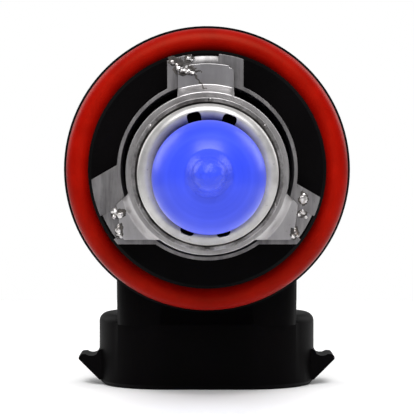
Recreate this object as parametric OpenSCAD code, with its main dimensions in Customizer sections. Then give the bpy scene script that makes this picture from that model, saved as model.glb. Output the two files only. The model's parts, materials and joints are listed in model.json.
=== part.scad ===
// Headlight bulb with a three-lug 19 mm metal cap ring, a sealing flange and a
// right-angle two-blade connector.
//
// Row frame: +Z is up, the lamp axis lies along Y and the glass tip points to -Y.
// The origin is where the lamp axis crosses the reference plane, which is the
// rear face of the three metal lugs. Every module below is drawn in the lamp
// frame, with the glass tip towards +Z and the connector towards -Y, and
// lamp_frame() turns it into the row frame.

/* [Cap ring] */
// Outside diameter of the locating ring
ring_d = 19; // [18.8:0.1:19.2]
// Radius of the lugs' outer edge
lug_r = 12.22; // [11.9:0.02:12.4]
// Thickness of the ring and lug sheet
ring_sheet = 0.4; // [0.3:0.05:0.5]

/* [Focus collar] */
// Sideways shift of the collar that centres the filament, welded in place
focus_shift = -0.35; // [-0.4:0.05:0.2]
// Height of the collar above the reference plane
collar_h = 8; // [7:0.5:9]
// Thickness of the collar sheet
collar_sheet = 0.4; // [0.3:0.05:0.45]

/* [Clamp] */
// Outside radius of the clamp cup that holds the glass
clamp_r = 7.05; // [6.9:0.05:7.05]
// Height of the clamp's rolled rim above the reference plane
clamp_top = 13; // [12.5:0.1:13.5]

/* [Glass] */
// Outside diameter of the glass tube
glass_d = 10.2; // [9.8:0.1:10.6]
// Height of the glass tip above the reference plane
tip_h = 41; // [40:0.5:43]
// Wall of the glass tube
glass_wall = 0.95; // [0.8:0.05:1.1]
// Height of the filament's middle above the reference plane
filament_h = 25; // [24.5:0.1:25.5]
// Length of the filament coil
filament_l = 4.5; // [3.5:0.1:5]

/* [Base] */
// Outside diameter of the sealing flange
flange_d = 31.1; // [30.8:0.1:32]
// Diameter of the spigot inside the sealing ring
spigot_d = 25.4; // [25.3:0.1:25.6]
// Thickness of the sealing ring's section
seal_section = 2.8; // [2.7:0.05:2.9]
// Distance of the base's rear face behind the reference plane
base_depth = 26; // [26:0.5:27]

/* [Connector] */
// Distance of the connector's mouth below the lamp axis
mouth_drop = 24.4; // [24.4:0.2:25.6]
// Width of the connector shroud across its locking wings' roots
shroud_w = 24.4; // [24:0.1:25]
// Thickness of the connector shroud, along the lamp axis
shroud_t = 15.6; // [15.4:0.1:15.8]
// Spacing of the two blades
blade_pitch = 7.6; // [7.2:0.1:8]

/* [Hidden] */
$fn = 72;
hull_fn = 32;
cut = 0.01;

// Cap ring and lugs
ring_r = ring_d / 2;
ring_in_r = ring_r - ring_sheet;
ring_foot = -8.2;
anchor_r = ring_r + 0.9;
lug_floor = -7.8;
lug_angles = [90, 210, 330];
// How far each lug reaches to the right and to the left of its own centre line
lug_sides = [[3.8, 4.2], [5.2, 6], [6, 3.45]];
lug_recess_w = 2.8;
lug_recess_shift = [-0.2, 0, 0];
lug_recess_r = lug_r - 0.24;

// Focus collar
tab_top = ring_sheet + collar_sheet;
collar_in_r = clamp_r + 0.05;
collar_r = collar_in_r + collar_sheet;
collar_flange_r = 8.54;
collar_step = 1;
collar_fillet = 0.5;
collar_flare = 0.28;
step_in_r = 8.4;
step_out_r = 9.2;
tab_r = 11.5;
tab_left = -3.1;
tab_right = 2.8;
tab_corner = 0.5;
side_tab_floor = lug_floor + 0.5 - focus_shift;
side_tab_top = -3.2;
side_tab_x = 9.55;
side_tab_floor_x = 8.95;

// Clamp
clamp_sheet = 0.35;
clamp_foot = 1.6;
crown_r = 0.8;
crown_mid = clamp_r - crown_r;
crown_h = clamp_top - crown_r;
lip_h = crown_h - 0.75;
tongue_w = 2;
tongue_angles = [86, 267.5];
slot_sweep = 14;
slot_reach = 6.33;
slot_corner = 0.42;

// Glass
glass_r = glass_d / 2;
bore_r = glass_r - glass_wall;
tube_foot = 14.6;
dome_h = 4.4;
nub_h = 2.1;
nub_r = 1.5;
nub_shift = 0.3;
tube_top = tip_h - dome_h - nub_h;
pinch_w = 9.8;
pinch_t = 3.2;
pinch_rail = 1.3;
pinch_rail_t = 4.2;
pinch_foot = 0.2;

// Filament and leads
coil_wire = 0.24;
coil_r = 0.62;
coil_turns = 11;
coil_steps = 14;
coil_sides = 6;
wire_sides = 16;
inner_wire = 0.5;
outer_wire = 0.9;
foil_w = 2.4;
foil_t = 0.1;
foil_foot = 3;
foil_top = 8.5;
foil_x = 2.2;
long_lead_x = 3.1;

// Base housing
spigot_r = spigot_d / 2;
spigot_top = -2.6;
seal_r = (flange_d - 0.7) / 2 - seal_section / 2;
groove_r = seal_r - seal_section / 2;
groove_top = -4.2;
flange_top = -7.2;
flange_r = flange_d / 2;
flange_foot = -9.4;
stub_r = 12.2;
stub_foot = -12;
floor_top = -9;
floor_foot = -12.4;
body_r = 10;
body_edge = 2.8;
body_top = -10.4;
rear = -base_depth;
cover_t = 1.6;
shoulder = -16.3;
shroud_mid = -18.1;
shroud_wall = 1.5;
shroud_fillet = 1;
mouth_chamfer = 0.5;
pocket_w = 18.4;
pocket_t = 10.4;
pocket_top = -12.4;
step_top = -17.9;
chamber_w = 6;
chamber_top = 5;
chamber_foot = -9.4;
chamber_wall = 1.6;
lead_hole_r = 1;

// Blades
blade_w = 2.8;
blade_t = 0.8;
blade_tip = -20.3;
blade_x = blade_pitch / 2;
shelf_t = 0.6;
lead_end = -18.6;
saddle_r = 0.85;
saddle_gap = 0.02;
saddle_foot = -17.4;
saddle_top = -15.2;
sealing_top = -4.5;

// Connector wings
wing_t = 5;
wing_top = -20.9;
wing_foot = -23.8;
wing_reach = 14.45;
wing_tip_r = 0.45;
wing_valley_r = 1.1;
wing_valley_depth = 0.2;

base_housing();
rear_cover();
o_ring();
base_ring();
focus_collar();
bulb_clamp();
tab_welds();
sleeve_welds();
glass_envelope();
filament();
short_lead();
long_lead();
foil(-1);  // foil_left
foil(1);  // foil_right
outer_lead(-1);  // outer_lead_left
outer_lead(1);  // outer_lead_right
lead_welds();
terminal(-1);  // terminal_left
terminal(1);  // terminal_right
sealing(-1);  // sealing_left
sealing(1);  // sealing_right

// ---------------------------------------------------------------- helpers

// The glass tip's +Z becomes the row's -Y, and the lamp frame's +Y becomes +Z.
module lamp_frame() rotate([90, 0, 0]) children();

// What moves sideways with the collar when the lamp is focused.
module focused() translate([0, focus_shift, 0]) children();

module tube(r_out, r_in, low, high) {
    translate([0, 0, low]) difference() {
        cylinder(r = r_out, h = high - low);
        translate([0, 0, -cut]) cylinder(r = r_in, h = high - low + 2 * cut);
    }
}

module slab(low, high) translate([0, 0, low]) linear_extrude(high - low) children();

module rounded_rect(w, h, r) {
    square([w - 2 * r, h], center = true);
    square([w, h - 2 * r], center = true);
    for (x = [-1, 1], y = [-1, 1]) translate([x * (w / 2 - r), y * (h / 2 - r)]) circle(r);
}

module stadium(w, t, fn = $fn) {
    square([w - t, t], center = true);
    for (x = [-1, 1]) translate([x * (w - t) / 2, 0]) circle(t / 2, $fn = fn);
}

function unit(v) = v / norm(v);
function along(points, i) = unit(points[i + 1] - points[i]);
function bend_angle(points, i) = acos(along(points, i - 1) * along(points, i));

// The path with each inner corner replaced by a short arc.
function rounded(points, bend, steps = 4) = concat(
    [points[0]],
    [
        for (i = [1 : len(points) - 2], k = [0 : steps]) let (
            u = along(points, i - 1),
            v = along(points, i),
            angle = bend_angle(points, i),
            inward = unit(v - (u * v) * u),
            a = angle * k / steps
        ) points[i] - bend * tan(angle / 2) * u + bend * (sin(a) * u + (1 - cos(a)) * inward)
    ],
    [points[len(points) - 1]]
);

// Joins rings of points into one closed skin. Each ring is ordered
// right-handed about the direction of travel.
module skin(rings) {
    sides = len(rings[0]);
    count = len(rings) - 1;
    walls = [
        for (i = [0 : count - 1], s = [0 : sides - 1]) let (
            a = i * sides + s,
            b = i * sides + (s + 1) % sides
        ) each [[a, a + sides, b + sides], [a, b + sides, b]]
    ];
    first = [for (s = [0 : sides - 1]) s];
    last = [for (s = [sides - 1 : -1 : 0]) count * sides + s];
    polyhedron([for (r = rings, p = r) p], concat(walls, [first, last]));
}

// A round wire bent in one plane.
module wire(corners, d, bend = 0.8) {
    points = rounded(corners, bend);
    end = len(points) - 1;
    side = unit(cross(along(corners, 0), along(corners, 1)));
    skin([
        for (i = [0 : end]) let (
            before = along(points, max(i - 1, 0)),
            after = along(points, min(i, end - 1)),
            travel = unit(before + after),
            across = cross(travel, side) / (travel * after)
        ) [for (s = [0 : wire_sides - 1])
            points[i] + d / 2 * (cos(360 * s / wire_sides) * side + sin(360 * s / wire_sides) * across)]
    ]);
}

module rod(at, low, high, d) translate([at[0], at[1], low]) cylinder(d = d, h = high - low, $fn = 24);

// A layer across the connector: its outline is in X and the lamp axis.
module across(y_low, y_high) {
    translate([0, y_high, shroud_mid]) rotate([90, 0, 0]) linear_extrude(y_high - y_low) children();
}

// ---------------------------------------------------------------- metal cap

module lug_outline(i) {
    intersection() {
        circle(lug_r);
        rotate(lug_angles[i] - 90)
            translate([-lug_sides[i][1], 0])
            square([lug_sides[i][0] + lug_sides[i][1], lug_r + 1]);
        translate([-lug_r, lug_floor]) square([2 * lug_r, 3 * lug_r]);
    }
}

// The bevel and shallow recess in the middle of each lug's outer edge.
module lug_recess(i) {
    bevel = 0.75;
    rotate(lug_angles[i] - 90) intersection() {
        translate([lug_recess_shift[i] - lug_recess_w / 2, lug_r - 2, -cut])
            cube([lug_recess_w, 3, ring_sheet + 2 * cut]);
        rotate_extrude() polygon([
            [lug_recess_r - bevel, ring_sheet + 1],
            [lug_recess_r - bevel, ring_sheet],
            [lug_recess_r, ring_sheet * 0.45],
            [lug_recess_r, -1],
            [lug_r + 1, -1],
            [lug_r + 1, ring_sheet + 1]
        ]);
    }
}

module base_ring() {
    color([0.72, 0.71, 0.72]) lamp_frame() {
        tube(ring_r, ring_in_r, ring_foot, ring_sheet);
        tube(anchor_r, ring_in_r, ring_foot, ring_foot + ring_sheet);
        difference() {
            slab(0, ring_sheet) for (i = [0 : 2]) lug_outline(i);
            translate([0, 0, -1]) cylinder(r = ring_r - ring_sheet / 2, h = 3);
            for (i = [0 : 2]) lug_recess(i);
        }
    }
}

// A tab that narrows outwards, with its lower edge level.
module side_tab_outline() {
    polygon([
        [-6, 0], [-side_tab_x + 0.2, side_tab_top + 0.15], [-side_tab_x, side_tab_top - 0.1],
        [-side_tab_floor_x - 0.06, side_tab_floor + 0.3], [-side_tab_floor_x + 0.25, side_tab_floor],
        [-4.5, side_tab_floor], [-5, -4]
    ]);
}

module top_tab_outline() {
    corner_y = tab_r * cos(asin(-tab_left / tab_r)) - tab_corner;
    intersection() {
        circle(tab_r);
        union() {
            translate([tab_left, 6]) square([tab_right - tab_left, corner_y - 6]);
            translate([tab_left + tab_corner, 6]) square([tab_right - tab_left - 2 * tab_corner, tab_r]);
            translate([tab_left + tab_corner, corner_y]) circle(tab_corner);
            translate([tab_right - tab_corner, corner_y]) circle(tab_corner);
        }
    }
}

// The sleeve with its flared rim, its narrow foot flange and the bend between.
module collar_profile() {
    steps = 5;
    low = ring_sheet + collar_step;
    high = low + collar_sheet;
    polygon(concat(
        [
            [collar_in_r, low], [collar_flange_r, low],
            [collar_flange_r, high - 0.1], [collar_flange_r - 0.1, high]
        ],
        [for (i = [0 : steps]) [
            collar_r + collar_fillet * (1 - sin(i * 90 / steps)),
            high + collar_fillet * (1 - cos(i * 90 / steps))
        ]],
        [
            [collar_r, collar_h - 1],
            [collar_r + collar_flare, collar_h - 0.25],
            [collar_r + collar_flare, collar_h - 0.08],
            [collar_r + collar_flare - 0.08, collar_h],
            [collar_in_r + collar_flare, collar_h],
            [collar_in_r, collar_h - 0.9]
        ]
    ));
}

// The sheet of the tabs steps down from the foot flange onto the lugs.
module tab_profile() {
    low = ring_sheet + collar_step;
    polygon([
        [collar_r - 0.1, low], [step_in_r, low], [step_out_r, ring_sheet], [tab_r + 1, ring_sheet],
        [tab_r + 1, tab_top], [step_out_r + 0.1, tab_top], [step_in_r + 0.1, low + collar_sheet],
        [collar_r - 0.1, low + collar_sheet]
    ]);
}

module focus_collar() {
    color([0.7, 0.69, 0.7]) lamp_frame() focused() {
        rotate_extrude() collar_profile();
        intersection() {
            rotate_extrude() tab_profile();
            slab(0, collar_h) {
                top_tab_outline();
                side_tab_outline();
                mirror([1, 0]) side_tab_outline();
            }
        }
    }
}

// A long outer wall, a rolled crown and a short inner lip.
module clamp_profile() {
    steps = 9;
    inner = crown_r - clamp_sheet;
    polygon(concat(
        [[clamp_r - clamp_sheet, clamp_foot], [clamp_r, clamp_foot]],
        [for (i = [0 : steps]) [
            crown_mid + crown_r * cos(i * 180 / steps), crown_h + crown_r * sin(i * 180 / steps)
        ]],
        [[crown_mid - crown_r, lip_h], [crown_mid - inner, lip_h]],
        [for (i = [steps : -1 : 0]) [
            crown_mid + inner * cos(i * 180 / steps), crown_h + inner * sin(i * 180 / steps)
        ]]
    ));
}

// A spring tongue slopes from the lip to the flat of the glass pinch.
module tongue() {
    start = [crown_mid - crown_r + clamp_sheet / 2, lip_h + 0.3];
    finish = [pinch_t / 2 + clamp_sheet / 2 + 0.02, 7.9];
    run = start - finish;
    slope = atan2(run[1], run[0]);
    intersection() {
        translate([-tongue_w / 2, 0, 0]) {
            translate([0, finish[0], finish[1]])
                rotate([slope, 0, 0])
                translate([0, 0, -clamp_sheet / 2])
                cube([tongue_w, norm(run) + 0.5, clamp_sheet]);
            translate([0, finish[0] - clamp_sheet / 2, 5.6])
                cube([tongue_w, clamp_sheet, finish[1] - 5.6 + 0.1]);
        }
        cylinder(r = start[0], h = clamp_top);
    }
}

// How far out a slot reaches at a point along it, with rounded outer corners.
function slot_edge(along_slot) =
    let (from_end = min(along_slot, slot_sweep - along_slot) * PI / 180 * slot_reach)
    from_end > slot_corner ? slot_reach
    : slot_reach - slot_corner + sqrt(slot_corner ^ 2 - (slot_corner - from_end) ^ 2);

// The slots beside the tongues.
module clamp_slots() {
    steps = 16;
    half = asin(tongue_w / 2 / (crown_mid - crown_r));
    for (a = tongue_angles, start = [a + half, a - half - slot_sweep])
        slab(lip_h - 1, clamp_top + 1) polygon(concat(
            [4.8 * [cos(start), sin(start)]],
            [for (i = [0 : steps]) let (turn = slot_sweep * i / steps)
                slot_edge(turn) * [cos(start + turn), sin(start + turn)]],
            [4.8 * [cos(start + slot_sweep), sin(start + slot_sweep)]]
        ));
}

module bulb_clamp() {
    color([0.83, 0.82, 0.82]) lamp_frame() focused() {
        difference() {
            rotate_extrude() clamp_profile();
            clamp_slots();
        }
        for (a = tongue_angles) rotate(a - 90) tongue();
    }
}

// A domed bead: the cap of a ball, with its flat side down.
module bead(r, h) {
    ball = (r * r + h * h) / (2 * h);
    intersection() {
        translate([0, 0, h - ball]) sphere(ball);
        cylinder(r = ball, h = h);
    }
}

// Each weld as [x, y, height of its foot, bead radius, bead height].
module tab_welds() {
    welds = [
        [-2.6, 10.35, tab_top, 0.62, 0.5], [-1.75, 10.2, tab_top, 0.52, 0.42],
        [-8.85, -4.3, tab_top, 0.52, 0.46], [-8.55, -6.2, tab_top, 0.48, 0.42],
        [8.95, -4.4, tab_top, 0.42, 0.42], [8.5, -6.3, tab_top, 0.44, 0.4],
        [-2, 11.6, ring_sheet, 0.36, 0.3], [-3.65, 11.15, ring_sheet, 0.36, 0.3]
    ];
    color([0.8, 0.8, 0.8]) lamp_frame()
        for (w = welds) translate([w[0], w[1], w[2]]) bead(w[3], w[4]);
}

// Weld spots across the groove between the collar's rim and the clamp.
module sleeve_welds() {
    color([0.62, 0.61, 0.62]) lamp_frame() focused()
        for (a = [40, 88, 140, 205, 270, 335])
            rotate(a) translate([collar_in_r + collar_flare + 0.2, 0, collar_h]) bead(0.24, 0.16);
}

// ---------------------------------------------------------------- glass

module glass_outline() {
    steps = 12;
    polygon(concat(
        [[0, tube_foot]],
        [for (i = [0 : steps]) let (a = i * 90 / steps)
            [glass_r * sin(a), tube_foot - (glass_r - 0.3) * cos(a)]],
        [for (i = [0 : steps]) let (a = i * 90 / steps)
            [glass_r * cos(a), tube_top + dome_h * pow(sin(a), 1.15)]]
    ));
}

module bore_outline() {
    steps = 10;
    polygon(concat(
        [for (i = [0 : steps]) let (a = i * 90 / steps)
            [bore_r * sin(a), tube_foot + 0.6 - bore_r * 0.85 * cos(a)]],
        [for (i = [0 : steps]) let (a = i * 90 / steps)
            [bore_r * cos(a), tube_top + (dome_h - 1.2) * sin(a)]]
    ));
}

// The tipped-off stub of the exhaust tube, a little off the axis.
module exhaust_tip() {
    steps = 10;
    foot = tip_h - nub_h - 0.9;
    translate([0, nub_shift, 0]) rotate_extrude() polygon(concat(
        [[0, foot], [nub_r + 0.9, foot], [nub_r + 0.35, foot + 0.8], [nub_r, foot + 1.4]],
        [for (i = [1 : steps]) [
            nub_r * cos(i * 90 / steps),
            foot + 1.4 + (nub_h - 0.5) * sin(i * 90 / steps)
        ]]
    ));
}

module pinch() {
    slab(pinch_foot, tube_foot - 2.2) {
        square([pinch_w, pinch_t], center = true);
        for (x = [-1, 1])
            translate([x * (pinch_w - pinch_rail) / 2, 0]) rounded_rect(pinch_rail, pinch_rail_t, 0.5);
    }
}

module glass_envelope() {
    color([0.28, 0.38, 1, 0.75]) lamp_frame() focused() difference() {
        union() {
            rotate_extrude() glass_outline();
            exhaust_tip();
            pinch();
        }
        rotate_extrude() bore_outline();
        for (side = [-1, 1]) {
            foil_shape(side);
            rod([side * foil_x, 0], pinch_foot - 1, foil_foot, outer_wire);
            rod([side * foil_x, 0], foil_top - 1, tube_foot, inner_wire);
        }
    }
}

// ---------------------------------------------------------------- burner

function coil_at(a) =
    [coil_r * cos(a), coil_r * sin(a), filament_h - filament_l / 2 + filament_l * a / (360 * coil_turns)];

function coil_ring(at, out, across) = [
    for (s = [0 : coil_sides - 1])
        at + coil_wire / 2 * (cos(360 * s / coil_sides) * out + sin(360 * s / coil_sides) * across)
];

// The coil with its two straight tails, each welded to a lead.
module filament() {
    rise = filament_l / (2 * PI * coil_r * coil_turns);
    count = coil_turns * coil_steps;
    low = filament_h - filament_l / 2;
    high = filament_h + filament_l / 2;
    color([0.45, 0.44, 0.45]) lamp_frame() focused() skin(concat(
        [coil_ring([coil_r, 0, low - 1.6], [1, 0, 0], [0, 1, 0])],
        [
            for (i = [0 : count]) let (
                a = 360 * i / coil_steps,
                lean = i == 0 || i == count ? 1 : rise,
                across = [-sin(a) * lean, cos(a) * lean, -1]
            ) coil_ring(coil_at(a), [cos(a), sin(a), 0], across)
        ],
        [coil_ring([coil_r, 0, high + 1.3], [1, 0, 0], [0, 1, 0])]
    ));
}

// From the left foil to the filament's lower tail.
module short_lead() {
    low = filament_h - filament_l / 2;
    color([0.6, 0.6, 0.62]) lamp_frame() focused()
        wire([
            [-foil_x, 0, foil_top - 1],
            [-foil_x, 0, tube_foot + 2.4],
            [coil_r - (coil_wire + inner_wire) / 2, 0, low - 2.6],
            [coil_r - (coil_wire + inner_wire) / 2, 0, low - 0.5]
        ], inner_wire);
}

// From the right foil, up beside the filament, to its upper tail.
module long_lead() {
    high = filament_h + filament_l / 2;
    reach = coil_r + (coil_wire + inner_wire) / 2;
    color([0.6, 0.6, 0.62]) lamp_frame() focused()
        wire([
            [foil_x, 0, foil_top - 1],
            [foil_x, 0, tube_foot + 0.2],
            [long_lead_x, 0, tube_foot + 2.2],
            [long_lead_x, 0, high + 1.6],
            [reach, 0, high + 1.2],
            [reach, 0, high + 0.3]
        ], inner_wire);
}

module foil_shape(side) {
    translate([side * foil_x - foil_w / 2, -foil_t / 2, foil_foot])
        cube([foil_w, foil_t, foil_top - foil_foot]);
}

// The foil's ends are cut away where the wires are welded onto it.
module foil(side) {
    color([0.55, 0.55, 0.58]) lamp_frame() focused() difference() {
        foil_shape(side);
        rod([side * foil_x, 0], foil_top - 1, foil_top + 1, inner_wire);
    }
}

module outer_lead(side) {
    color([0.66, 0.65, 0.64]) lamp_frame()
        wire([
            [side * foil_x, focus_shift, foil_foot],
            [side * foil_x, focus_shift, pinch_foot - 1],
            [side * blade_x, 0, floor_top + 1],
            [side * blade_x, 0, lead_end]
        ], outer_wire);
}

// ---------------------------------------------------------------- terminals

module blade(side) {
    translate([side * blade_x - blade_w / 2, blade_tip, shroud_mid - blade_t / 2])
        cube([blade_w, -outer_wire / 2 - blade_tip, blade_t]);
}

module terminal(side) {
    shelf_top = -outer_wire / 2;
    color([0.74, 0.72, 0.66]) lamp_frame() {
        // Blade, with a tapered tip
        difference() {
            blade(side);
            translate([side * blade_x, blade_tip, shroud_mid]) for (s = [-1, 1]) {
                translate([s * blade_w / 2, 0, 0]) rotate(45) cube([0.9, 0.9, 2], center = true);
                translate([0, 0, s * blade_t / 2]) rotate([45, 0, 0]) cube([4, 0.36, 0.36], center = true);
            }
        }
        // Shelf that carries the lead
        translate([side * blade_x - blade_w / 2, shelf_top - shelf_t, shroud_mid])
            cube([blade_w, shelf_t, 4.4]);
    }
}

// A saddle of weld metal over each lead, where it lies on the terminal's shelf.
module lead_welds() {
    steps = 8;
    shelf_top = -outer_wire / 2;
    inner_r = outer_wire / 2 + saddle_gap;
    foot_angle = asin(shelf_top / saddle_r);
    color([0.62, 0.61, 0.6]) lamp_frame() for (side = [-1, 1])
        translate([side * blade_x, 0]) slab(saddle_foot, saddle_top) polygon(concat(
            [for (i = [0 : steps]) let (a = foot_angle + (180 - 2 * foot_angle) * i / steps)
                saddle_r * [cos(a), sin(a)]],
            [[-inner_r, shelf_top]],
            [for (i = [0 : steps]) let (a = 180 - 180 * i / steps)
                inner_r / cos(90 / steps) * [cos(a), sin(a)]],
            [[inner_r, shelf_top]]
        ));
}

// Poured round each blade in the foot of its chamber, it keeps water out.
module sealing(side) {
    color([0.2, 0.19, 0.18]) lamp_frame() difference() {
        intersection() {
            chamber(side);
            translate([side * blade_x, chamber_foot, (rear + floor_foot) / 2])
                cube([2 * chamber_w, 2 * (sealing_top - chamber_foot), 2 * base_depth], center = true);
        }
        blade(side);
    }
}

// ---------------------------------------------------------------- base

module o_ring() {
    color([0.66, 0.06, 0.03]) lamp_frame()
        translate([0, 0, flange_top + seal_section / 2])
        rotate_extrude()
        translate([seal_r, 0])
        circle(seal_section / 2, $fn = 48);
}

// Spigot with its lip and groove, flange, and the round stub behind it.
module turned_profile() {
    edge = 0.35;
    polygon([
        [0, stub_foot], [stub_r, stub_foot], [stub_r, flange_foot],
        [flange_r - edge, flange_foot], [flange_r, flange_foot + edge],
        [flange_r, flange_top - edge], [flange_r - edge, flange_top],
        [groove_r, flange_top], [groove_r, groove_top],
        [spigot_r, groove_top], [spigot_r, spigot_top - edge],
        [spigot_r - edge, spigot_top], [0, spigot_top]
    ]);
}

// An arch around the lamp axis, run down into the connector's neck.
module body_block() {
    hull() {
        translate([0, 0, rear]) rotate_extrude($fn = hull_fn * 2) {
            translate([0, body_edge]) square([body_r, body_top - rear - body_edge]);
            square([body_r - body_edge, body_edge]);
            translate([body_r - body_edge, body_edge]) circle(body_edge, $fn = hull_fn);
        }
        translate([0, shoulder - 1, (rear + body_top) / 2])
            rotate([-90, 0, 0])
            linear_extrude(4)
            rounded_rect(2 * body_r, body_top - rear, body_edge, $fn = hull_fn);
    }
}

// The connector shroud, with its rounded shoulder and chamfered mouth.
module shroud_block() {
    steps = 5;
    hull() {
        for (i = [0 : steps]) let (
            a = 90 * i / steps,
            inset = shroud_fillet * (1 - sin(a)),
            y = shoulder - shroud_fillet * (1 - cos(a))
        ) across(y - 0.05, y) stadium(shroud_w - 2 * inset, shroud_t - 2 * inset, hull_fn * 2);
        across(-mouth_drop + mouth_chamfer, -mouth_drop + mouth_chamfer + 0.05)
            stadium(shroud_w, shroud_t, hull_fn * 2);
        across(-mouth_drop, -mouth_drop + 0.05)
            stadium(shroud_w - 2 * mouth_chamfer, shroud_t - 2 * mouth_chamfer, hull_fn * 2);
    }
}

// One locking wing: a ramp that rises towards the lamp, with a hooked top.
module wing(side) {
    steps = 5;
    root = shroud_w / 2 - 2;
    tip = [wing_reach - wing_tip_r, wing_top - wing_tip_r];
    valley = [shroud_w / 2 + 0.85, wing_top + wing_valley_r - wing_valley_depth];
    lean = acos((wing_valley_r - wing_valley_depth) / wing_valley_r);
    translate([0, 0, shroud_mid - wing_t / 2]) linear_extrude(wing_t) scale([side, 1]) polygon(concat(
        [[root, wing_foot], [shroud_w / 2 - 0.1, wing_foot]],
        [for (i = [0 : steps]) let (a = -20 + 110 * i / steps) tip + wing_tip_r * [cos(a), sin(a)]],
        [for (i = [0 : steps]) let (a = lean * (1 - 2 * i / steps))
            valley + wing_valley_r * [sin(a), -cos(a)]],
        [[shroud_w / 2, wing_top + 0.5], [root, wing_top + 0.8]]
    ));
}

// A terminal chamber, open to the rear and closed by the cover.
module chamber(side) {
    slab(rear + cover_t, floor_foot)
        translate([side * (chamber_wall / 2 + chamber_w / 2), (chamber_top + chamber_foot) / 2])
        rounded_rect(chamber_w, chamber_top - chamber_foot, 0.8);
}

// The chambers with the holes for the leads and the slots for the blades.
module chambers() {
    for (side = [-1, 1]) {
        chamber(side);
        translate([side * blade_x, 0, floor_foot - 1])
            cylinder(r = lead_hole_r, h = floor_top - floor_foot + 2);
        translate([side * blade_x, 0, shroud_mid])
            translate([-blade_w / 2, pocket_top - 1, -blade_t / 2])
            cube([blade_w, chamber_foot - pocket_top + 2, blade_t]);
    }
}

module cover_outline(r) {
    circle(r);
    translate([-r, chamber_foot - 1.6 + (8.4 - r)]) square([2 * r, 1.6 - chamber_foot - (8.4 - r)]);
}

// Where the plug goes in: a deep pocket round the blades and a wider step.
module connector_cavity() {
    across(-mouth_drop - 1, pocket_top) difference() {
        rounded_rect(pocket_w, pocket_t, 1.6);
        for (x = [-1, 1]) translate([x * pocket_w / 2, 0]) square([1.4, 1.2], center = true);
    }
    across(-mouth_drop - 1, step_top) stadium(shroud_w - 2 * shroud_wall, shroud_t - 2 * shroud_wall);
}

module base_housing() {
    color([0.09, 0.09, 0.1]) lamp_frame() difference() {
        union() {
            rotate_extrude() turned_profile();
            body_block();
            shroud_block();
            wing(-1);
            wing(1);
        }
        // Seat of the cap ring and its anchor flange
        translate([0, 0, ring_foot]) cylinder(r = ring_r, h = 10);
        translate([0, 0, ring_foot]) cylinder(r = anchor_r, h = ring_sheet);
        translate([0, 0, floor_top]) cylinder(r = ring_in_r - 0.5, h = 10);
        chambers();
        slab(rear - 1, rear + cover_t) cover_outline(8.4);
        connector_cavity();
    }
}

// Welded into the recess behind the terminal chambers.
module rear_cover() {
    color([0.11, 0.11, 0.12]) lamp_frame() {
        slab(rear, rear + cover_t) cover_outline(8.3);
        tube(6.6, 6, rear - 0.3, rear + 0.2);
    }
}
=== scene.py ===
import json
import math

import bmesh
import bpy
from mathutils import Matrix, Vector, noise
from mathutils.bvhtree import BVHTree


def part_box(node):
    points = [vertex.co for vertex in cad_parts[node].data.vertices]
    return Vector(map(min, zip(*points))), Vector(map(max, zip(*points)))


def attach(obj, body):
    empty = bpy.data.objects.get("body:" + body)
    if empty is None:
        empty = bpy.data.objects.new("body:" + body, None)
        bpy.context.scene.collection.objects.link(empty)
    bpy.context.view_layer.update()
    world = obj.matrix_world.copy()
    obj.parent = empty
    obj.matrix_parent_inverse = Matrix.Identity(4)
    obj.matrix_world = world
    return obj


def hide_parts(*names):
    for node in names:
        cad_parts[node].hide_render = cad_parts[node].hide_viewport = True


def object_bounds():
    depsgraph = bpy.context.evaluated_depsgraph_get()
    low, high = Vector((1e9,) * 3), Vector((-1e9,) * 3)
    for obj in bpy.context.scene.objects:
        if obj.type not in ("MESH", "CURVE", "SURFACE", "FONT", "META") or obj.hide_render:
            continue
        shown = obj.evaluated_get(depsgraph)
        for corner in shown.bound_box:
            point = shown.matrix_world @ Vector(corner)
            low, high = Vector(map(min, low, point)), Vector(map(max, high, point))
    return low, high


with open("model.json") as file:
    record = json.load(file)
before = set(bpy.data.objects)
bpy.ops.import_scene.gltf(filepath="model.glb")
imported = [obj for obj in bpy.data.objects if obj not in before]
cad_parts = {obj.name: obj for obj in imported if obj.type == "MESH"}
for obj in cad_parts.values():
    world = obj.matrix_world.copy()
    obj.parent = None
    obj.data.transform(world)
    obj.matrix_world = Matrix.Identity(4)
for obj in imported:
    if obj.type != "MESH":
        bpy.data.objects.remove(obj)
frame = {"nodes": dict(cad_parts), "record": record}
cad_low, cad_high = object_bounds()

BODY = "root"
MM = 0.001
CM = 0.01
NODES = frame["nodes"]
glass_low, glass_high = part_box("glass_envelope")
GLASS_AXIS_Z = (glass_low[2] + glass_high[2]) / 2
collar_low, collar_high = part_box("focus_collar")
# How far the dark smudges and painted shade on the collar reach from its rear end and from its front
# rim.
COLLAR_FOOT = 2.5 * MM
COLLAR_RIM = 0.5 * MM


# ---------------------------------------------------------------- materials


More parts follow.
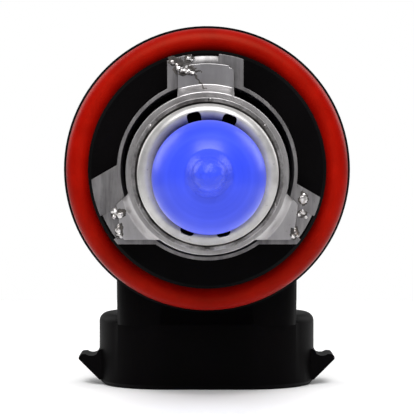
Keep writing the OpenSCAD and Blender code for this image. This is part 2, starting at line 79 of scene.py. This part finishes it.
class Mat:
    """A node material under construction, with short calls for the usual nodes."""

    def __init__(self, name):
        self.mat = bpy.data.materials.new(name)
        self.mat.use_nodes = True
        self.tree = self.mat.node_tree
        self.bsdf = self.tree.nodes["Principled BSDF"]
        coord = self.tree.nodes.new("ShaderNodeTexCoord")
        self.at = coord.outputs["Object"]

    def node(self, kind, **values):
        made = self.tree.nodes.new(kind)
        for key, value in values.items():
            setattr(made, key, value)
        return made

    def link(self, a, b):
        self.tree.links.new(a, b)

    def set(self, **values):
        for key, value in values.items():
            self.bsdf.inputs[key.replace("_", " ")].default_value = value

    def noise(self, scale, detail=3.0, rough=0.5, stretch=(1, 1, 1), distortion=0.0):
        tex = self.node("ShaderNodeTexNoise")
        tex.inputs["Scale"].default_value = scale
        tex.inputs["Detail"].default_value = detail
        tex.inputs["Roughness"].default_value = rough
        tex.inputs["Distortion"].default_value = distortion
        self.link(self.mapped(stretch), tex.inputs["Vector"])
        return tex.outputs["Fac"]

    def mapped(self, stretch):
        if stretch == (1, 1, 1):
            return self.at
        mapping = self.node("ShaderNodeMapping")
        mapping.inputs["Scale"].default_value = stretch
        self.link(self.at, mapping.inputs["Vector"])
        return mapping.outputs["Vector"]

    def axis_radius(self):
        """Distance from the lamp axis, in metres."""
        split = self.node("ShaderNodeSeparateXYZ")
        self.link(self.at, split.inputs["Vector"])
        across = self.math("POWER", split.outputs["X"], 2)
        up = self.math("POWER", self.math("SUBTRACT", split.outputs["Z"], GLASS_AXIS_Z), 2)
        return self.math("SQRT", self.math("ADD", across, up))

    def ramp(self, fac, *stops):
        node = self.node("ShaderNodeValToRGB")
        node.color_ramp.elements[0].position = stops[0][0]
        node.color_ramp.elements[0].color = rgba(stops[0][1])
        node.color_ramp.elements[1].position = stops[-1][0]
        node.color_ramp.elements[1].color = rgba(stops[-1][1])
        for place, colour in stops[1:-1]:
            node.color_ramp.elements.new(place).color = rgba(colour)
        self.link(fac, node.inputs["Fac"])
        return node.outputs["Color"]

    def math(self, operation, a, b=None, clamp=False):
        node = self.node("ShaderNodeMath", operation=operation, use_clamp=clamp)
        for socket, value in zip(node.inputs, (a, b)):
            if value is None:
                continue
            if isinstance(value, (int, float)):
                socket.default_value = value
            else:
                self.link(value, socket)
        return node.outputs["Value"]

    def mix(self, fac, a, b):
        node = self.node("ShaderNodeMix", data_type="RGBA")
        if isinstance(fac, (int, float)):
            node.inputs[0].default_value = fac
        else:
            self.link(fac, node.inputs[0])
        for socket, value in ((node.inputs[6], a), (node.inputs[7], b)):
            if isinstance(value, bpy.types.NodeSocket):
                self.link(value, socket)
            else:
                socket.default_value = rgba(value)
        return node.outputs[2]

    def bump(self, height, distance, strength=1.0, normal=None):
        node = self.node("ShaderNodeBump")
        node.inputs["Distance"].default_value = distance
        node.inputs["Strength"].default_value = strength
        self.link(height, node.inputs["Height"])
        if normal is not None:
            self.link(normal, node.inputs["Normal"])
        return node.outputs["Normal"]

    def colour(self, socket):
        self.link(socket, self.bsdf.inputs["Base Color"])

    def roughness(self, fac, low, high):
        node = self.node("ShaderNodeMapRange")
        node.inputs["To Min"].default_value = low
        node.inputs["To Max"].default_value = high
        self.link(fac, node.inputs["Value"])
        self.link(node.outputs["Result"], self.bsdf.inputs["Roughness"])

    def normal(self, socket):
        self.link(socket, self.bsdf.inputs["Normal"])


def rgba(colour):
    if isinstance(colour, (int, float)):
        return (colour, colour, colour, 1.0)
    return (*colour, 1.0)


def black_plastic(name, base, gloss):
    """Moulded, glass-filled plastic: flow marks, fine grain and a little dust."""
    m = Mat(name)
    flow = m.noise(220, 4, 0.55, (1, 1, 0.35))
    grain = m.noise(5200, 2, 0.6)
    dust = m.noise(900, 5, 0.7)
    dark = (base * 0.8, base * 0.62, base * 0.74)
    light = (base * 1.5, base * 1.1, base * 1.4)
    shade = m.ramp(flow, (0.3, dark), (0.7, light))
    m.colour(m.mix(m.ramp(dust, (0.68, 0.0), (0.84, 0.3)), shade, base * 5))
    m.roughness(m.mix(0.5, flow, grain), 0.36, 0.58)
    m.normal(m.bump(grain, 0.00002, 0.45, m.bump(flow, 0.00005, 0.25)))
    m.set(Specular_IOR_Level=gloss, Sheen_Weight=0.004, Sheen_Roughness=0.4)
    return m.mat


def red_silicone():
    """Smooth silicone, a shade lighter where it is worn, with fine moulding grain."""
    m = Mat("red_silicone")
    cloud = m.noise(260, 4, 0.6)
    fine = m.noise(3800, 3, 0.6)
    m.colour(m.ramp(cloud, (0.3, (0.19, 0.0015, 0.0004)), (0.7, (0.27, 0.003, 0.0008))))
    m.roughness(cloud, 0.34, 0.5)
    m.normal(m.bump(fine, 0.000012, 0.5))
    m.set(Specular_IOR_Level=0.12, Specular_Tint=(1, 0.4, 0.2, 1))
    return m.mat


def collar_smudges_and_shade(m):
    """Dark smudges round the collar's flange and rim, which also paint the shade in the flange's
    fillet.
    """
    radius = m.math("MULTIPLY", m.axis_radius(), 1 / CM, clamp=True)
    flange = m.ramp(radius, (0.66, 0.0), (0.7, 1.0), (0.76, 0.75), (0.84, 0.0))
    split = m.node("ShaderNodeSeparateXYZ")
    m.link(m.at, split.inputs["Vector"])
    at_foot = m.math("GREATER_THAN", split.outputs["Y"], collar_high[1] - COLLAR_FOOT)
    at_rim = m.math("LESS_THAN", split.outputs["Y"], collar_low[1] + COLLAR_RIM)
    smudge = m.ramp(m.noise(520, 5, 0.7), (0.4, 0.15), (0.62, 0.95))
    ends = m.math("MAXIMUM", at_foot, at_rim)
    # The flange band darkens where the fillet lies in shade: painted shade, mixed with smudges.
    return m.math("MULTIPLY", m.math("MULTIPLY", smudge, flange), ends)


def lip_tint(m):
    """The straw tint that heat leaves on the clamp's inner lip."""
    radius = m.math("MULTIPLY", m.axis_radius(), 1 / CM, clamp=True)
    return m.ramp(radius, (0.5, 0.8), (0.61, 0.0))


# Each steel with marks mixed into its colour, with where the marks are and their colour: heat tint on
# the clamp's lip, and dark smudges with painted shade on the collar.
STEEL_MARKS_AND_SHADE = {
    "cap_steel": (collar_smudges_and_shade, (0.03, 0.025, 0.024)),
    "clamp_steel": (lip_tint, (0.5, 0.44, 0.24)),
}


def sheet_steel(name, low, high, rough_low, rough_high, streak, metallic=1.0, brushing=420):
    """Stamped stainless sheet: brushed streaks, soft waviness and small stains."""
    m = Mat(name)
    brush = m.noise(brushing, 5, 0.65, streak)
    patch = m.noise(170, 3, 0.6)
    spots = m.noise(1500, 4, 0.7)
    metal = m.ramp(m.mix(0.45, brush, patch), (0.3, low), (0.7, high))
    stain = m.ramp(spots, (0.62, 0.0), (0.76, 0.5))
    worn = m.mix(stain, metal, tuple(c * 0.42 for c in low))
    if name in STEEL_MARKS_AND_SHADE:
        # On the collar these marks are dark smudges and painted shade.
        marks, mark_colour = STEEL_MARKS_AND_SHADE[name]
        worn = m.mix(marks(m), worn, mark_colour)
    m.colour(worn)
    m.roughness(m.mix(0.5, brush, spots), rough_low, rough_high)
    m.normal(m.bump(brush, 0.000012, 0.45, m.bump(patch, 0.00008, 0.3)))
    m.set(Metallic=metallic)
    return m.mat


def weld_metal():
    """Melted beads, bright where clean and brown where burnt."""
    m = Mat("weld_metal")
    ripple = m.noise(2600, 3, 0.6)
    soot = m.noise(1300, 4, 0.65)
    burnt, clean, bright = (0.16, 0.13, 0.11), (0.5, 0.48, 0.47), (0.8, 0.79, 0.78)
    m.colour(m.ramp(soot, (0.34, burnt), (0.5, clean), (0.72, bright)))
    m.roughness(ripple, 0.22, 0.42)
    m.normal(m.bump(ripple, 0.00004, 0.5))
    m.set(Metallic=1.0)
    return m.mat


def weld_soot():
    """The dark burnt film round a weld."""
    m = Mat("weld_soot")
    cloud = m.noise(2400, 4, 0.65)
    m.colour(m.ramp(cloud, (0.35, (0.006, 0.005, 0.005)), (0.7, (0.07, 0.06, 0.052))))
    m.roughness(cloud, 0.5, 0.8)
    m.normal(m.bump(cloud, 0.00003, 0.5))
    m.set(Metallic=0.2)
    return m.mat


def blue_glass():
    """Quartz under a blue coating, with faint rings and a puckered tip, and a faint painted glow."""
    m = Mat("blue_glass")
    cloud = m.noise(160, 3, 0.55)
    fine = m.noise(1400, 3, 0.6)
    radius = m.axis_radius()
    along = m.node("ShaderNodeCombineXYZ")
    m.link(radius, along.inputs["X"])
    rings = m.node("ShaderNodeTexNoise")
    rings.inputs["Scale"].default_value = 1500
    rings.inputs["Detail"].default_value = 2
    m.link(along.outputs["Vector"], rings.inputs["Vector"])
    tip_reach = 3 * MM
    near_tip = m.ramp(m.math("MULTIPLY", radius, 1 / tip_reach, clamp=True), (0.45, 1.0), (0.8, 0.0))
    mottle = m.mix(0.55, cloud, rings.outputs["Fac"])
    tint_and_glow = m.ramp(mottle, (0.3, (0.017, 0.038, 0.5)), (0.68, (0.034, 0.062, 0.61)))
    m.colour(tint_and_glow)
    # The tint also colours a faint emission: a painted glow that lightens the unlit glass.
    m.link(tint_and_glow, m.bsdf.inputs["Emission Color"])
    m.roughness(fine, 0.3, 0.42)
    pucker = m.math("MULTIPLY", m.noise(1100, 3, 0.6, distortion=1.5), near_tip)
    waves = m.bump(rings.outputs["Fac"], 0.00003, 0.35, m.bump(cloud, 0.00004, 0.25))
    m.normal(m.bump(pucker, 0.00022, 0.7, waves))
    # Emission_Strength sets the strength of the painted glow.
    m.set(Emission_Strength=0.12, IOR=1.46, Specular_IOR_Level=0.25)
    m.set(Coat_Weight=0.06, Coat_Roughness=0.25)
    return m.mat


def sealing_compound():
    """Poured dark silicone."""
    m = Mat("sealing_compound")
    cloud = m.noise(300, 3, 0.6)
    m.colour(m.ramp(cloud, (0.3, 0.035), (0.7, 0.06)))
    m.roughness(cloud, 0.3, 0.5)
    m.normal(m.bump(cloud, 0.00005, 0.3))
    return m.mat


def wire_metal(name, low, high):
    """Drawn wire, with streaks along it."""
    m = Mat(name)
    drawn = m.noise(2400, 3, 0.6, (1, 0.12, 1))
    m.colour(m.ramp(drawn, (0.3, low), (0.7, high)))
    m.roughness(drawn, 0.22, 0.42)
    m.normal(m.bump(drawn, 0.000006, 0.4))
    m.set(Metallic=1.0)
    return m.mat


MATERIALS = {
    "black_plastic": black_plastic("black_plastic", 0.0008, 0.03),
    "cover_plastic": black_plastic("cover_plastic", 0.003, 0.14),
    "sealing_compound": sealing_compound(),
    "red_silicone": red_silicone(),
    "cap_steel": sheet_steel(
        "cap_steel", (0.25, 0.24, 0.243), (0.48, 0.467, 0.47), 0.3, 0.42, streak=(1, 1, 0.2),
    ),
    "lug_steel": sheet_steel(
        "lug_steel", (0.06, 0.057, 0.058), (0.27, 0.26, 0.262), 0.38, 0.54,
        streak=(1, 1, 0.1), brushing=1300,
    ),
    "clamp_steel": sheet_steel(
        "clamp_steel", (0.24, 0.233, 0.228), (0.5, 0.49, 0.475), 0.3, 0.44,
        streak=(1, 0.15, 1), metallic=0.5,
    ),
    "weld_metal": weld_metal(),
    "blue_glass": blue_glass(),
    "tungsten": wire_metal("tungsten", (0.2, 0.2, 0.21), (0.36, 0.36, 0.37)),
    "lead_metal": wire_metal("lead_metal", (0.36, 0.36, 0.38), (0.55, 0.55, 0.56)),
    "tinned_brass": wire_metal("tinned_brass", (0.55, 0.52, 0.46), (0.74, 0.71, 0.64)),
}


# ---------------------------------------------------------------- CAD nodes


# The cap ring is duller than the collar welded onto it, and the weld spots match the collar.
NODE_FINISHES = {"base_ring": "lug_steel", "sleeve_welds": "cap_steel"}
EDGE_WIDTHS = {"base_ring": 0.05 * MM, "focus_collar": 0.05 * MM}
SOFT_ANGLE = 32
MERGE_DISTANCE = 0.002 * MM


def round_edges(obj, width):
    """A narrow rounded edge, which catches the light as a real pressed or moulded edge does."""
    flat = obj.modifiers.new("flat", "DECIMATE")
    flat.decimate_type = "DISSOLVE"
    flat.angle_limit = math.radians(0.6)
    bevel = obj.modifiers.new("bevel", "BEVEL")
    bevel.width = width
    bevel.segments = 2
    bevel.limit_method = "ANGLE"
    bevel.angle_limit = math.radians(48)
    bevel.use_clamp_overlap = False
    bevel.loop_slide = False
    shade = obj.modifiers.new("shade", "WEIGHTED_NORMAL")
    shade.keep_sharp = False


def soften(obj):
    """Smooth shading that stops at real edges. The CAD mesh keeps its shape."""
    mesh = obj.data
    custom = mesh.attributes.get("custom_normal")
    if custom is not None:
        mesh.attributes.remove(custom)
    for polygon in mesh.polygons:
        polygon.use_smooth = True
    weld = obj.modifiers.new("weld", "WELD")
    weld.merge_threshold = MERGE_DISTANCE
    if obj.name in EDGE_WIDTHS:
        round_edges(obj, EDGE_WIDTHS[obj.name])
    else:
        split = obj.modifiers.new("edges", "EDGE_SPLIT")
        split.split_angle = math.radians(SOFT_ANGLE)


def paint(obj, slot):
    obj.data.materials.clear()
    obj.data.materials.append(MATERIALS[slot])


for part in frame["record"]["subparts"]:
    cad = NODES[part["node"]]
    paint(cad, NODE_FINISHES.get(part["node"], part["material_slot"]))
    soften(cad)


# ---------------------------------------------------------------- welds

# The welds lie on the collar's tabs and the lugs, so every point is dropped
# onto that metal along the lamp axis.
METAL_NODES = ("focus_collar", "base_ring")
CAP_CENTRE = Vector(frame["record"]["mounts"][0]["pos_m"])
# A drop starts in front of the collar's tabs, and stops short of the metal deep in the base.
DROP_START = -30 * MM
DROP_LIMIT = 0.5 * MM


def metal_trees():
    trees = []
    for name in METAL_NODES:
        mesh = NODES[name].data
        mesh.calc_loop_triangles()
        points = [v.co for v in mesh.vertices]
        trees.append(BVHTree.FromPolygons(points, [tuple(t.vertices) for t in mesh.loop_triangles]))
    return trees


METAL_TREES = metal_trees()


def on_metal(x, z, fallback):
    """The frontmost metal at this place, as a row Y; a place past its edge keeps the fallback."""
    start = CAP_CENTRE + Vector((x, DROP_START, z))
    hits = [tree.ray_cast(start, Vector((0, 1, 0)))[0] for tree in METAL_TREES]
    depths = [hit.y for hit in hits if hit is not None and hit.y < DROP_LIMIT]
    return min(depths) if depths else fallback


def wobble(angle, seed, amount):
    """A bumpy outline that closes on itself."""
    point = Vector((math.cos(angle), math.sin(angle), seed * 7.3))
    return 1 + amount * noise.noise(point * 1.6) + amount * 0.6 * noise.noise(point * 4.1)


def soot_patch(shape, x, z, wide, high, seed):
    """A thin ragged film that follows the metal's steps."""
    rings, spokes = 6, 36
    base = on_metal(x, z, -0.4 * MM)
    centre = shape.verts.new((x, base - 0.02 * MM, z))
    rows = []
    for ring in range(1, rings + 1):
        row = []
        for spoke in range(spokes):
            angle = 2 * math.pi * spoke / spokes
            reach = ring / rings * wobble(angle, seed, 0.45)
            px = x + wide * reach * math.cos(angle)
            pz = z + high * reach * math.sin(angle)
            lift = (0.02 if ring < rings else 0.004) * MM
            row.append(shape.verts.new((px, on_metal(px, pz, base) - lift, pz)))
        rows.append(row)
    for spoke in range(spokes):
        after = (spoke + 1) % spokes
        shape.faces.new((centre, rows[0][after], rows[0][spoke]))
        for inner, outer in zip(rows, rows[1:]):
            shape.faces.new((inner[spoke], inner[after], outer[after], outer[spoke]))


def soot_streak(shape, path, width, seed):
    """A burnt line that tapers and wanders from one place to the next."""
    steps = 26
    rows = []
    for step in range(steps + 1):
        t = step / steps
        place = t * (len(path) - 1)
        i = min(int(place), len(path) - 2)
        start, end = Vector(path[i]), Vector(path[i + 1])
        middle = start.lerp(end, place - i)
        side = (end - start).orthogonal().normalized()
        drift = noise.noise(Vector((t * 6, seed, 0))) * width * 1.2
        swell = abs(noise.noise(Vector((t * 9, seed, 4))) + 0.4)
        half = width * (0.35 + 0.65 * swell) * (1.15 - 0.5 * t)
        row = []
        for across in (-1, 0, 1):
            point = (middle + side * (drift + across * half)) * MM
            lift = (0.03 if across == 0 else 0.006) * MM
            y = on_metal(point.x, point.y, -1.2 * MM) - lift
            row.append(shape.verts.new((point.x, y, point.y)))
        rows.append(row)
    for a, b in zip(rows, rows[1:]):
        for k in range(2):
            shape.faces.new((a[k], a[k + 1], b[k + 1], b[k]))


def nugget(shape, x, z, wide, high, thick, seed):
    """One melted bead: a lumpy ball, pressed into the metal."""
    made = bmesh.ops.create_icosphere(shape, subdivisions=4, radius=1.0)
    base = on_metal(x, z, -0.5 * MM)
    for vert in made["verts"]:
        way = vert.co.copy()
        lump = 1 + 0.3 * noise.noise(way * 1.3 + Vector((seed, 0, 0)))
        lump += 0.16 * noise.noise(way * 3.4 + Vector((0, seed, 0)))
        vert.co = Vector((x, base, z)) + lump * Vector((way.x * wide, way.y * thick, way.z * high))


# Each bead as x, z, half width, half height and thickness, in mm from the lamp axis.
BEADS = (
    (-2.95, 10.62, 0.34, 0.26, 0.34), (-2.5, 10.42, 0.4, 0.26, 0.42), (-1.98, 10.3, 0.42, 0.3, 0.42),
    (-1.55, 10.16, 0.28, 0.2, 0.26), (-2.2, 10.72, 0.22, 0.16, 0.24), (-1.95, 11.72, 0.3, 0.22, 0.22),
    (-3.62, 11.3, 0.26, 0.24, 0.2), (-3.2, 11.0, 0.2, 0.2, 0.16), (-1.6, 11.5, 0.16, 0.12, 0.14),
    (-9.6, -4.35, 0.5, 0.38, 0.34), (-9.15, -4.7, 0.36, 0.32, 0.34), (-9.75, -4.9, 0.26, 0.24, 0.22),
    (-9.3, -6.2, 0.36, 0.5, 0.3), (-9.25, -6.75, 0.26, 0.24, 0.22), (-9.05, -7.0, 0.2, 0.2, 0.16),
    (10.0, -4.45, 0.3, 0.3, 0.3), (9.62, -4.72, 0.2, 0.2, 0.2), (9.15, -6.45, 0.36, 0.42, 0.3),
    (8.95, -6.95, 0.26, 0.24, 0.22), (9.45, -6.85, 0.22, 0.26, 0.2), (10.35, -4.95, 0.18, 0.16, 0.16),
    (10.1, -3.0, 0.4, 0.52, 0.1),
)
# Each burnt patch as x, z, half width and half height.
BURNS = (
    (-2.3, 10.5, 1.25, 0.62), (-3.55, 11.45, 0.62, 0.5), (-1.9, 11.65, 0.55, 0.4),
    (-2.75, 11.15, 0.3, 0.5), (-9.4, -4.55, 0.8, 0.6), (-9.2, -6.5, 0.45, 0.75),
    (10.1, -3.0, 0.52, 0.68), (9.9, -4.6, 0.55, 0.42), (9.15, -6.6, 0.5, 0.6),
)
# Each crack as points x, z.
STREAKS = (
    ((-1.5, 10.05), (-1.0, 9.6), (-0.75, 9.1), (-0.35, 8.55), (-0.05, 8.5)),
    ((-1.4, 10.25), (-0.9, 10.35), (-0.55, 10.3)),
    ((-3.0, 10.75), (-3.5, 11.2), (-3.75, 11.55)),
    ((-2.1, 10.75), (-1.75, 11.2), (-1.8, 11.6)),
    ((-1.5, 10.4), (-1.15, 10.7)),
)
STREAK_WIDTH = 0.15


def welds():
    beads = bmesh.new()
    for seed, (x, z, wide, high, thick) in enumerate(BEADS):
        nugget(beads, x * MM, z * MM, wide * MM, high * MM, thick * MM, seed * 3.1)
    soot = bmesh.new()
    for seed, (x, z, wide, high) in enumerate(BURNS):
        soot_patch(soot, x * MM, z * MM, wide * MM, high * MM, seed)
    for seed, path in enumerate(STREAKS):
        soot_streak(soot, path, STREAK_WIDTH, seed * 2.7)
    for name, shape, material in (
        ("weld_beads", beads, MATERIALS["weld_metal"]),
        ("weld_burns", soot, weld_soot()),
    ):
        bmesh.ops.recalc_face_normals(shape, faces=shape.faces)
        mesh = bpy.data.meshes.new(name)
        shape.to_mesh(mesh)
        shape.free()
        for polygon in mesh.polygons:
            polygon.use_smooth = True
        mesh.materials.append(material)
        obj = bpy.data.objects.new(name, mesh)
        bpy.context.scene.collection.objects.link(obj)
        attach(obj, BODY)
        if name == "weld_beads":
            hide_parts("tab_welds")


welds()


# ---------------------------------------------------------------- stage

FLOOR_RADIUS = 0.15
# World brightness in front of, beside and behind the lamp.
FRONT_LIGHT = 0.09
SIDE_LIGHT = 0.3
BACK_LIGHT = 0.5


def stage_floor():
    """A white paper disc, small enough to stay evenly lit to its edge."""
    shape = bmesh.new()
    bmesh.ops.create_circle(shape, cap_ends=True, segments=96, radius=FLOOR_RADIUS)
    bmesh.ops.translate(shape, verts=shape.verts, vec=(0, 0, cad_low.z))
    mesh = bpy.data.meshes.new("floor")
    shape.to_mesh(mesh)
    shape.free()
    obj = bpy.data.objects.new("floor", mesh)
    bpy.context.scene.collection.objects.link(obj)
    m = Mat("floor_paper")
    m.colour(m.ramp(m.noise(30, 3), (0.3, 0.93), (0.7, 0.96)))
    m.set(Roughness=0.8, Specular_IOR_Level=0.1)
    mesh.materials.append(m.mat)


stage_floor()


def area_light(name, at, aim, size, power):
    data = bpy.data.lights.new(name, "AREA")
    data.shape = "RECTANGLE"
    data.size, data.size_y = size
    data.energy = power
    obj = bpy.data.objects.new(name, data)
    bpy.context.scene.collection.objects.link(obj)
    obj.location = at
    obj.rotation_euler = (Vector(aim) - Vector(at)).to_track_quat("-Z", "Y").to_euler()


area_light("key_top", (0.0, -0.34, 0.4), (0, 0.02, -0.02), (0.4, 0.4), 5.2)
area_light("back_left", (-0.4, 0.3, 0.25), (0, 0, 0), (0.3, 0.4), 1.0)
area_light("back_right", (0.4, 0.3, 0.25), (0, 0, 0), (0.3, 0.4), 1.0)


def studio_world():
    """White to the camera, but dimmer in front than behind, so that dark plastic stays dark."""
    world = bpy.data.worlds.new("studio")
    world.use_nodes = True
    tree = world.node_tree
    background = tree.nodes["Background"]
    coord = tree.nodes.new("ShaderNodeTexCoord")
    split = tree.nodes.new("ShaderNodeSeparateXYZ")
    tree.links.new(coord.outputs["Generated"], split.inputs["Vector"])
    depth = tree.nodes.new("ShaderNodeValToRGB")
    stops = depth.color_ramp.elements
    stops[0].position, stops[0].color = 0.0, rgba(FRONT_LIGHT)
    stops[1].position, stops[1].color = 1.0, rgba(BACK_LIGHT)
    stops.new(0.28).color = rgba(FRONT_LIGHT)
    stops.new(0.52).color = rgba(SIDE_LIGHT)
    remap = tree.nodes.new("ShaderNodeMapRange")
    remap.inputs["From Min"].default_value = -1.0
    remap.inputs["From Max"].default_value = 1.0
    tree.links.new(split.outputs["Y"], remap.inputs["Value"])
    tree.links.new(remap.outputs["Result"], depth.inputs["Fac"])
    path = tree.nodes.new("ShaderNodeLightPath")
    seen = tree.nodes.new("ShaderNodeMix")
    seen.data_type = "RGBA"
    seen.inputs[7].default_value = (1, 1, 1, 1)
    tree.links.new(path.outputs["Is Camera Ray"], seen.inputs[0])
    tree.links.new(depth.outputs["Color"], seen.inputs[6])
    tree.links.new(seen.outputs[2], background.inputs["Color"])
    bpy.context.scene.world = world


studio_world()
bpy.context.scene.view_settings.view_transform = "Standard"


# ---------------------------------------------------------------- camera

CAMERA_AT = Vector((-0.00095, -0.22, 0.002))
CAMERA_AIM = Vector((-0.00003, 0, -0.003893))

camera_data = bpy.data.cameras.new("camera")
camera_data.lens = 182
camera_data.sensor_width = 36
camera_data.clip_start = 0.01
camera = bpy.data.objects.new("camera", camera_data)
bpy.context.scene.collection.objects.link(camera)
camera.location = CAMERA_AT
camera.rotation_euler = (CAMERA_AIM - CAMERA_AT).to_track_quat("-Z", "Y").to_euler()
bpy.context.scene.camera = camera
